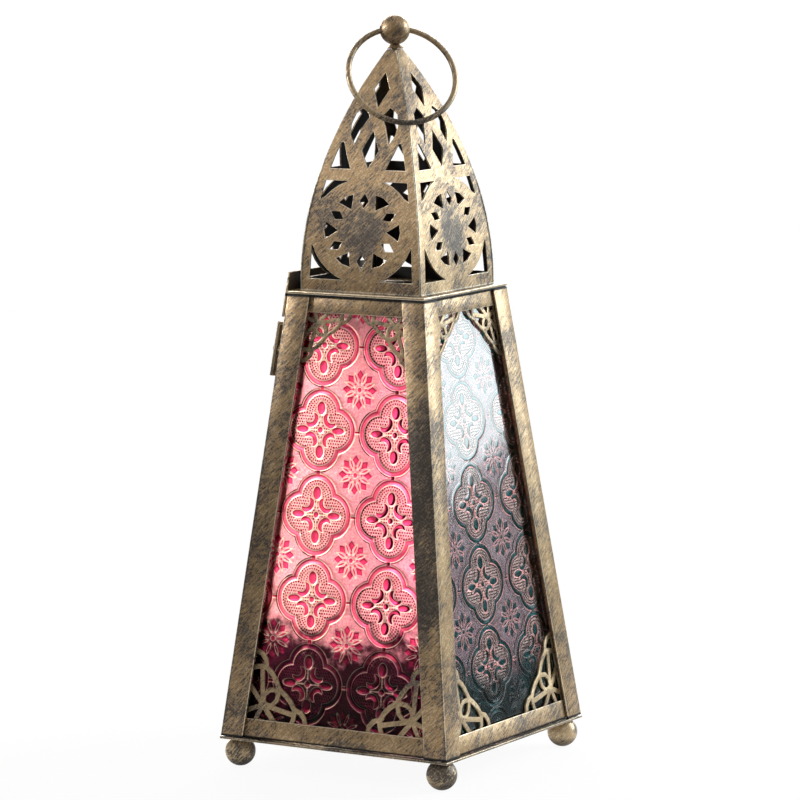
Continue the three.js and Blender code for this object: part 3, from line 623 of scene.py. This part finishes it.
def glassGroup():
    tree = bpy.data.node_groups.new("pressedGlass", "ShaderNodeTree")
    addSockets(tree, "INPUT", **{
        "Shape": (1.0, 0.1, 0.35), "Shade": (0.7, 0.03, 0.15), "Ground": (1.0, 0.48, 0.67),
        "Field": (1.0, 0.5, 0.6), "Edge": (1.0, 1.0, 0.86), "Point": (0.7, 0.05, 0.2),
        "Back": (1.0, 0.9, 0.9), "Shadow": (0.06, 0.004, 0.02), "Shadow Below": 0.0,
        "Rows": 0.0, "Band": 0.8, "Smooth": 0.3, "Matt": 0.3, "Dark From": 99.0,
        "Cell Wide": 34.0, "Cell High": 34.0, "Centre Across": 0.0, "Centre Up": 0.0})
    addSockets(tree, "OUTPUT", Color="NodeSocketColor", Roughness="NodeSocketFloat",
               Height="NodeSocketFloat")
    given = tree.nodes.new("NodeGroupInput")
    out = tree.nodes.new("NodeGroupOutput")
    value = {socket.name: Field(tree, socket) for socket in given.outputs}
    spot = tree.nodes.new("ShaderNodeAttribute")
    spot.attribute_name = "paneSpot"
    u, v, face = parts(tree, spot.outputs["Vector"])  # face is 1 on the pressed side
    cellWide, cellHigh = value["Cell Wide"], value["Cell High"]
    shape = pressedShapes(u - value["Centre Across"], v - value["Centre Up"], cellWide, cellHigh)
    ring, solid, fine, arrow = (shape[name] for name in ("ring", "solid", "fine", "arrow"))

    def line(distance, name):
        at, half, soft = (*lines[name], 0.12)[:3]
        return 1.0 - abs(distance - at).rise(half - soft, half + soft)

    band = 1.0 - abs(ring).rise(0.8, 1.0)
    inside = 1.0 - solid.least(fine).least(arrow).least(shape["dot"]).rise(-0.1, 0.12)
    shade = line(ring, "bandShade").most(line(solid.least(arrow), "shapeShade"))
    # the pale lines along the edges of the pressed shapes are painted highlights
    edge = line(ring, "bandOut").most(line(ring, "bandIn"))
    edge = edge.most(line(solid, "shape")).most(line(fine, "slit"))
    edge = edge.most(1.0 - shape["cross"].rise(0.1, 0.3))
    # the grooves are drawn darker on the side away from the light, a painted shade
    lit = shape["x"] * 0.05 + shape["y"] * 0.02
    groove = line(ring, "grooveOut") * (0.8 - lit).clamp()
    groove = groove.most(line(ring, "grooveIn") * (0.5 + lit).clamp())
    field = (shape["rim"] * -1.0).rise(0.2, 0.4)
    points = (1.0 - (stipple(shape, value["Rows"]) + value["Rows"] * 0.1).rise(0.25, 0.38))
    points = points * (shape["rim"] * -1.0).rise(0.1, 0.25)
    points = points * solid.rise(0.45, 0.6)
    drift = noise(tree, vector(tree, u, v, 0.0), 0.12, 3.0, 0.6)
    grain = noise(tree, vector(tree, u, v, 0.0), 1.1, 3.0, 0.7)
    colour = blendColour(tree, field, value["Ground"].socket, value["Field"].socket)
    colour = blendColour(tree, grain.rise(0.47, 0.7) * 0.55, colour, value["Shape"].socket)
    pale = (1.0 - grain.rise(0.3, 0.5)) * 0.5 * (1.0 - field)
    colour = blendColour(tree, pale, colour, value["Edge"].socket)
    colour = blendColour(tree, groove.most(points), colour, value["Point"].socket)
    # painted highlights along the pressed edges
    colour = blendColour(tree, edge * 0.9, colour, value["Edge"].socket)
    colour = blendColour(tree, inside.most(band * value["Band"]), colour, value["Shape"].socket)
    colour = blendColour(tree, shade * inside.most(band) * 0.7, colour, value["Shade"].socket)
    # seen aslant, the far flank of each raised shape lies dark, a painted shade
    flank = medallion(shape["x"] + 1.05, shape["y"] - 0.3, cellWide, cellHigh)
    petal = 1.0 - solid.rise(-0.1, 0.12)
    inner = line(ring, "shadowIn") * (shape["x"] * -0.1 - 0.1).clamp()
    dark = (petal * flank["solid"].rise(-0.2, 0.15)).most(inner)
    dark = dark * (u - value["Dark From"]).rise(0.0, 12.0)
    dark = dark.most(line(ring, "shadowOut") * (drift.rise(0.45, 0.55) * (0.7 - lit).clamp()))
    colour = blendColour(tree, dark * 0.97, colour, value["Shadow"].socket)
    # a painted shadow darkens the glass towards the foot, and the pressed edges stay lighter in it as
    # painted highlights
    shadow = 1.0 - (v - abs(u) * 0.25 + (drift - 0.5) * 40.0 - value["Shadow Below"]).rise(-9.0, 7.0)
    colour = blendColour(tree, shadow * (0.99 - edge * 0.3 - inside * 0.12), colour, value["Shadow"].socket)
    colour = blendColour(tree, face, value["Back"].socket, colour)
    # light is tinted once on its way in, so the tint goes in squared
    twice = tree.nodes.new("ShaderNodeVectorMath")
    twice.operation = "MULTIPLY"
    tree.links.new(colour, twice.inputs[0])
    tree.links.new(colour, twice.inputs[1])
    tree.links.new(twice.outputs[0], out.inputs["Color"])
    flat = 1.0 - shape["raised"]
    rough = value["Smooth"] + (value["Matt"] - value["Smooth"]) * flat
    tree.links.new(rough.socket, out.inputs["Roughness"])
    tree.links.new((shape["raised"] + edge * 0.2 - points * 0.4 + drift * 0.6 + grain * 0.35 * flat).socket,
                   out.inputs["Height"])
    return tree


glassTree = glassGroup()


def pressedGlass(name, cells, surface, **values):
    material = bpy.data.materials.new(name)
    material.use_nodes = True
    tree = material.node_tree
    shader = tree.nodes["Principled BSDF"]
    for key, value in (("Transmission Weight", 1.0), ("IOR", surface["bend"]),
                       ("Coat Weight", surface["gloss"]), ("Coat Roughness", surface["glossRough"]),
                       ("Specular IOR Level", 0.0), ("Specular Tint", (0, 0, 0, 1))):
        shader.inputs[key].default_value = value
    group = tree.nodes.new("ShaderNodeGroup")
    group.node_tree = glassTree
    for key, value in cells.items():
        group.inputs[key].default_value = value
    for key, value in values.items():
        group.inputs[key].default_value = (*value, 1)
    for key, value in (("Shadow Below", "shadowBelow"), ("Rows", "rows"), ("Band", "band"), ("Smooth", "smooth"),
                       ("Matt", "matt"), ("Dark From", "darkFrom")):
        group.inputs[key].default_value = surface[value]
    dents = tree.nodes.new("ShaderNodeBump")
    dents.inputs["Strength"].default_value = 1.0
    dents.inputs["Distance"].default_value = surface["dents"] * mm
    tree.links.new(group.outputs["Color"], shader.inputs["Base Color"])
    tree.links.new(group.outputs["Roughness"], shader.inputs["Roughness"])
    tree.links.new(group.outputs["Height"], dents.inputs["Height"])
    tree.links.new(dents.outputs["Normal"], shader.inputs["Normal"])
    return material


paneCells = {"front": {"Cell Wide": 34.8, "Cell High": 33.75, "Centre Across": -15.2, "Centre Up": 91.5},
             "right": {"Cell Wide": 36.2, "Cell High": 32.7, "Centre Across": -6.5, "Centre Up": 63.2},
             "back": {"Cell Wide": 34.8, "Cell High": 33.75, "Centre Across": 9.0, "Centre Up": 72.0},
             "door": {"Cell Wide": 34.8, "Cell High": 33.75, "Centre Across": -6.0, "Centre Up": 84.0}}
# the Edge colour of each pane is for its painted highlights along the pressed lines, and the last colour for
# its painted shadows
paneColour = {
    "front": dict(Shape=(0.93, 0.07, 0.22), Shade=(0.45, 0.005, 0.05), Ground=(1.0, 0.45, 0.56),
                  Field=(1.0, 0.56, 0.6), Edge=(1.0, 0.9, 0.74), Point=(0.3, 0.0, 0.04),
                  Back=(1.0, 0.95, 0.97), Shadow=(0.035, 0.0, 0.012)),
    "right": dict(Shape=(0.0, 0.055, 0.06), Shade=(0.0, 0.004, 0.008), Ground=(0.165, 0.165, 0.195),
                  Field=(0.38, 0.33, 0.31), Edge=(0.5, 0.25, 0.23), Point=(0.01, 0.045, 0.045),
                  Back=(0.9, 0.97, 1.0), Shadow=(0.0, 0.05, 0.055)),
    "back": dict(Shape=(0.95, 0.35, 0.35), Shade=(0.85, 0.2, 0.2), Ground=(1.0, 0.91, 0.9),
                 Field=(1.0, 0.93, 0.91), Edge=(1.0, 0.97, 0.95), Point=(0.9, 0.55, 0.5),
                 Back=(1.0, 0.98, 0.97), Shadow=(0.45, 0.14, 0.17)),
    "door": dict(Shape=(1.0, 0.78, 0.5), Shade=(0.95, 0.62, 0.3), Ground=(1.0, 0.96, 0.9),
                 Field=(1.0, 0.97, 0.91), Edge=(1.0, 0.98, 0.94), Point=(0.95, 0.77, 0.5),
                 Back=(1.0, 0.99, 0.97), Shadow=(0.55, 0.35, 0.17))}
plainSurface = {"smooth": 0.3, "matt": 0.3, "bend": 1.5, "gloss": 0.6, "glossRough": 0.05, "dents": 0.12,
                "rows": 0.0, "band": 0.8, "shadowBelow": 0.0, "darkFrom": 99.0}
paneSurface = {
    "front": {"smooth": 0.36, "matt": 0.56, "bend": 1.32, "gloss": 0.2, "glossRough": 0.05, "dents": 0.9,
              "rows": 0.0, "band": 0.75, "shadowBelow": 40.0, "darkFrom": -4.0},
    "right": {"smooth": 0.12, "matt": 0.12, "bend": 1.35, "gloss": 1.0, "glossRough": 0.06, "dents": 0.22,
              "rows": 1.0, "band": 1.0, "shadowBelow": 24.0, "darkFrom": 99.0},
    "back": plainSurface, "door": plainSurface}
paneRelief = {"front": 0.16, "right": 0.012, "back": 0.1, "door": 0.1}
paneSize = {"inset": 7.5, "foot": 3.0, "head": 176.66, "face": 3.3, "thick": 2.7}
doorPane = {"inset": 11.3, "foot": 9.0, "head": 170.66, "face": 0.4, "thick": 2.7}


def makePane(side, tree):
    size = doorPane if side == "door" else paneSize
    half = [body["halfFoot"] - body["drift"] * size[end] - size["inset"] for end in ("foot", "head")]
    name = side.capitalize()
    glass = pressedGlass("pressedGlass" + name, paneCells[side], paneSurface[side], **paneColour[side])
    piece = growMesh("pane" + name, tree, **{
        "Foot Half": half[0], "Head Half": half[1], "Foot": size["foot"], "Head": size["head"],
        "Material": glass, "Relief": paneRelief[side], "Steps Across": int(2 * half[0] / pressing["fine"]),
        "Steps Up": int((size["head"] - size["foot"]) / pressing["fine"]), **paneCells[side]})
    closeBack(piece.data, size["thick"] * mm)
    piece.data.transform(sideFrame(side) @ Matrix.Translation((0, 0, -size["face"] * mm)))
    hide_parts("glass_" + side)
    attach(piece, "door" if side == "door" else "body")


pressedTree = paneTree()
for side in sideTurn:
    makePane(side, pressedTree)
print("panes ready")

# sheet metal is a copy of the CAD with rounded, rubbed edges: their width in mm and steps
sheetEdges = {"sheet": (0.24, 2), "rim": (0.42, 3), "angle": 0.6}


def roundedCopy(node, bevel, steps, angle):
    source = frame["nodes"][node]
    mesh = source.data.copy()
    work = bmesh.new()
    work.from_mesh(mesh)
    bmesh.ops.remove_doubles(work, verts=work.verts, dist=1e-6)
    bmesh.ops.dissolve_limit(work, angle_limit=0.02, verts=work.verts, edges=work.edges, delimit=set())
    work.to_mesh(mesh)
    work.free()
    mesh.materials.clear()
    piece = bpy.data.objects.new(node + "_rounded", mesh)
    scene.collection.objects.link(piece)
    metal = frettedBrass if node.startswith("bracket") else slotMetal[slotOf[node]]
    mesh.materials.append(metal)
    mesh.materials.append(rubbedEdge)
    trim = piece.modifiers.new("trim", "BEVEL")
    trim.width, trim.segments, trim.limit_method, trim.angle_limit = bevel * mm, steps, "ANGLE", angle
    trim.use_clamp_overlap, trim.material = True, 1
    even = piece.modifiers.new("even", "WEIGHTED_NORMAL")
    even.keep_sharp = True
    made = plainMesh(piece)
    piece.modifiers.clear()
    piece.data = made
    made.shade_smooth()
    if node.startswith("dome_panel"):
        curveNormals(made, node.split("_")[2])
    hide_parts(node)
    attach(piece, source["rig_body"])


dome = {"foot": 191.3, "bend": 187.26}


def curveNormals(mesh, side):  # the panels bend evenly: broad faces take the normals of the true curve
    turn = Matrix.Rotation(sideTurn[side] * math.pi / 2, 3, "Z")
    normals = [Vector(corner.vector) for corner in mesh.corner_normals]
    for face in mesh.polygons:
        for loop in face.loop_indices:
            rise = mesh.vertices[mesh.loops[loop].vertex_index].co.z / mm - dome["foot"]
            up = max(0.0, rise) / dome["bend"]
            outward = turn @ Vector((0, -math.sqrt(1 - up * up), up))
            along = outward.dot(face.normal)
            if abs(along) > 0.97:
                normals[loop] = outward if along > 0 else -outward
    mesh.normals_split_custom_set(normals)


slotOf = {entry["node"]: entry["material_slot"] for entry in frame["record"]["subparts"]}
for node in sorted(frame["nodes"]):
    if node.startswith(("glass", "foot", "finial", "ring")):
        continue
    edges = sheetEdges["rim" if node == "roof_plate" else "sheet"]
    roundedCopy(node, *edges, sheetEdges["angle"])
print("sheet metal ready")

turned = {"steps": 56, "arcSteps": 28, "foot": 6.1, "footMiddle": 5.95, "footHigh": 11.0, "footSpot": 47.35,
          "ball": 6.0, "ballMiddle": 293.5, "neck": 1.8, "stem": 1.3, "stemFoot": -12.4, "collar": 3.4,
          "collarFoot": -7.4, "collarEdge": 0.25, "collarHigh": 0.45, "neckFoot": 0.9, "bore": 1.83}


def arc(radius, middle, low, high, steps):
    angles = [low + (high - low) * i / steps for i in range(steps + 1)]
    return [(radius * math.cos(angle), middle + radius * math.sin(angle)) for angle in angles]


def smoothTurned(mesh):
    mesh.shade_smooth()
    mesh.set_sharp_from_angle(angle=0.7)


def turnedMesh(name, profile, steps):  # a profile of (radius, height) in mm, turned about z
    work = bmesh.new()
    rings = []
    angles = [2 * math.pi * i / steps for i in range(steps)]
    for radius, high in profile:
        if radius < 0.001:
            rings.append([work.verts.new((0, 0, high * mm))])
        else:
            rings.append([work.verts.new((radius * mm * math.cos(angle), radius * mm * math.sin(angle),
                                          high * mm)) for angle in angles])
    for low, top in zip(rings, rings[1:]):
        for i in range(steps):
            j = (i + 1) % steps
            corners = [low[i % len(low)], low[j % len(low)], top[j % len(top)], top[i % len(top)]]
            work.faces.new(list(dict.fromkeys(corners)))
    bmesh.ops.recalc_face_normals(work, faces=work.faces)
    mesh = bpy.data.meshes.new(name)
    work.to_mesh(mesh)
    work.free()
    smoothTurned(mesh)
    piece = bpy.data.objects.new(name, mesh)
    scene.collection.objects.link(piece)
    return piece


def handIn(piece, node, metal):
    piece.data.materials.clear()
    piece.data.materials.append(metal)
    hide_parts(node)
    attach(piece, frame["nodes"][node]["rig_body"])


def turnFeet(values):
    low = -math.asin(values["footMiddle"] / values["foot"])
    high = math.asin((values["footHigh"] - values["footMiddle"]) / values["foot"])
    profile = [(0, 0)] + arc(values["foot"], values["footMiddle"], low, high, values["arcSteps"]) \
        + [(0, values["footHigh"])]
    for name, across, back in (("front_left", -1, -1), ("front_right", 1, -1), ("back_right", 1, 1),
                               ("back_left", -1, 1)):
        foot = turnedMesh("turnedFoot_" + name, profile, values["steps"])
        spot = Vector((across, back, 0)) * values["footSpot"] * mm
        foot.data.transform(Matrix.Translation(spot))
        handIn(foot, "foot_" + name, footBrass)


def turnFinial(values):
    low = -math.acos(values["neck"] / values["ball"])
    ball = arc(values["ball"], 0, low, math.pi / 2, values["arcSteps"] * 2)[:-1] + [(0, values["ball"])]
    stem, foot, collar, under = (values[key] for key in ("stem", "stemFoot", "collar", "collarFoot"))
    edge = values["collarEdge"]
    profile = [(0, foot), (stem, foot), (stem, under), (collar - edge, under), (collar, under + edge),
               (collar, under + values["collarHigh"]), (collar * 0.8, under + values["neckFoot"])] + ball
    finial = turnedMesh("turnedFinial", profile, values["steps"])
    bore, reach = values["bore"], values["ball"] * 2
    drill = turnedMesh("drill", [(0, -reach), (bore, -reach), (bore, reach), (0, reach)], 32)
    drill.data.transform(Matrix.Rotation(math.pi / 4, 4, "Z") @ Matrix.Rotation(math.pi / 2, 4, "Y"))
    cut = finial.modifiers.new("bore", "BOOLEAN")
    cut.operation, cut.object, cut.solver = "DIFFERENCE", drill, "EXACT"
    made = plainMesh(finial)
    finial.modifiers.clear()
    bpy.data.objects.remove(drill)
    finial.data = made
    smoothTurned(made)
    made.transform(Matrix.Translation((0, 0, values["ballMiddle"] * mm)))
    handIn(finial, "finial", wornBrass)


footBrass = brass("footBrass", Cover=-0.1, Brass=(0.5, 0.36, 0.2), Bright=(0.85, 0.72, 0.5), Clouds=2.2)
turnFeet(turned)
turnFinial(turned)
print("turned pieces ready")

wire = {"ring": 21.5, "thick": 1.1, "middle": (8.2701, -8.2701, 275.9706), "ball": (0, 0, 293.5),
        "steps": 160, "sides": 20, "dark": (0.2575, 0.2635), "cover": (-0.75, 0.1)}


def ringTree():
    tree = bpy.data.node_groups.new("wireRing", "GeometryNodeTree")
    addSockets(tree, "INPUT", Ring=20.0, Thick=1.0, Steps=160, Sides=20, Material="NodeSocketMaterial")
    addSockets(tree, "OUTPUT", Geometry="NodeSocketGeometry")
    given = tree.nodes.new("NodeGroupInput")
    value = {socket.name: Field(tree, socket) for socket in given.outputs}
    path = tree.nodes.new("GeometryNodeCurvePrimitiveCircle")
    section = tree.nodes.new("GeometryNodeCurvePrimitiveCircle")
    sweep = tree.nodes.new("GeometryNodeCurveToMesh")
    for node, steps, size in ((path, "Steps", "Ring"), (section, "Sides", "Thick")):
        tree.links.new(value[steps].socket, node.inputs["Resolution"])
        tree.links.new((value[size] * mm).socket, node.inputs["Radius"])
    tree.links.new(path.outputs["Curve"], sweep.inputs["Curve"])
    tree.links.new(section.outputs["Curve"], sweep.inputs["Profile Curve"])
    return finish(tree, sweep.outputs[0], value["Material"].socket)


def seamTree():  # an uneven bead of solder that bows between two ends
    tree = bpy.data.node_groups.new("solderSeam", "GeometryNodeTree")
    addSockets(tree, "INPUT", Start="NodeSocketVector", End="NodeSocketVector", Bow="NodeSocketVector",
               Thick=0.4, Uneven=0.5, Count=200, Sides=8, Seed=1, Material="NodeSocketMaterial")
    addSockets(tree, "OUTPUT", Geometry="NodeSocketGeometry")
    given = tree.nodes.new("NodeGroupInput")
    value = {socket.name: Field(tree, socket) for socket in given.outputs}
    start, end, bow = (parts(tree, given.outputs[name]) for name in ("Start", "End", "Bow"))
    path = tree.nodes.new("GeometryNodeMeshLine")
    tree.links.new(given.outputs["Count"], path.inputs["Count"])
    index = Field(tree, tree.nodes.new("GeometryNodeInputIndex").outputs[0])
    share = index / (value["Count"] - 1.0)
    swell = share * (1.0 - share) * 4.0

    def wander(offset, scale):
        return noise(tree, vector(tree, index, value["Seed"] * 7.3 + offset, 0.0), scale, 3.0, 0.6) - 0.5

    spot = [(a + (b - a) * share + c * swell + wander(k * 3.1, 0.12) * value["Uneven"] * 0.4) * mm
            for k, (a, b, c) in enumerate(zip(start, end, bow))]
    move = tree.nodes.new("GeometryNodeSetPosition")
    tree.links.new(path.outputs[0], move.inputs["Geometry"])
    tree.links.new(vector(tree, *spot), move.inputs["Position"])
    curve = tree.nodes.new("GeometryNodeMeshToCurve")
    tree.links.new(move.outputs[0], curve.inputs[0])
    section = tree.nodes.new("GeometryNodeCurvePrimitiveCircle")
    tree.links.new(given.outputs["Sides"], section.inputs["Resolution"])
    section.inputs["Radius"].default_value = mm
    sweep = tree.nodes.new("GeometryNodeCurveToMesh")
    sweep.inputs["Fill Caps"].default_value = True
    tree.links.new(curve.outputs[0], sweep.inputs["Curve"])
    tree.links.new(section.outputs["Curve"], sweep.inputs["Profile Curve"])
    thick = value["Thick"] * (1.0 + wander(20.0, 0.45) * value["Uneven"] * 2.0)
    tree.links.new(thick.socket, sweep.inputs["Scale"])
    return finish(tree, sweep.outputs[0], value["Material"].socket)


def hangRing(values):
    ring = growMesh("wireRing", ringTree(), Ring=values["ring"], Thick=values["thick"],
                    Steps=values["steps"], Sides=values["sides"], Material=ringBrass)
    middle, ball = Vector(values["middle"]), Vector(values["ball"])
    down = (middle - ball).normalized()
    bore = Vector((1, 1, 0)).normalized()
    turn = Matrix((bore, down, bore.cross(down))).transposed().to_4x4()
    ring.data.transform(Matrix.Translation(middle * mm) @ turn)
    handIn(ring, "ring", ringBrass)


# each seam runs along one side or ridge and is repeated on all four, with a seed of its own
solderRuns = {
    "uneven": 0.55, "step": 0.55, "sides": 8,
    "ridgeSolder": {"start": (27.7, -27.7, 191.6), "end": (2.3, -2.3, 285.2), "bow": (6.6, -6.6, 0),
                    "thick": 0.42, "seed": 1, "metal": solder},
    "roofSolder": {"start": (-31.1, -31.1, 189.5), "end": (31.1, -31.1, 189.5), "bow": (0, 0, 0),
                   "thick": 0.65, "seed": 11, "metal": darkBrass},
    "domeSolder": {"start": (-27.8, -27.95, 191.2), "end": (27.8, -27.95, 191.2), "bow": (0, 0, 0),
                   "thick": 0.36, "seed": 21, "metal": solder}}


def runSeam(name, turn, tree, values):
    run = values[name]
    count = int((Vector(run["end"]) - Vector(run["start"])).length / values["step"])
    seam = growMesh("%s%d" % (name, turn), tree, Start=run["start"], End=run["end"], Bow=run["bow"],
                    Thick=run["thick"], Uneven=values["uneven"], Count=count, Sides=values["sides"],
                    Seed=run["seed"] + turn, Material=run["metal"])
    seam.data.transform(Matrix.Rotation(turn * math.pi / 2, 4, "Z"))
    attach(seam, "body")


def darkenLow(material, low, high, least, most):  # the wire is darker at the bottom, where it lies on the dome
    tree = material.node_tree
    group = next(node for node in tree.nodes if node.type == "GROUP")
    place = tree.nodes.new("ShaderNodeTexCoord")
    z = parts(tree, place.outputs["Object"])[2]
    tree.links.new((z.rise(low, high) * (most - least) + least).socket, group.inputs["Cover"])


ringBrass = brass("ringBrass", Brass=(0.42, 0.3, 0.17), Clouds=0.6)
darkenLow(ringBrass, *wire["dark"], *wire["cover"])
hangRing(wire)
seams = seamTree()
for turn in range(4):
    for name in ("ridgeSolder", "roofSolder", "domeSolder"):
        runSeam(name, turn, seams, solderRuns)
print("ring and solder ready")
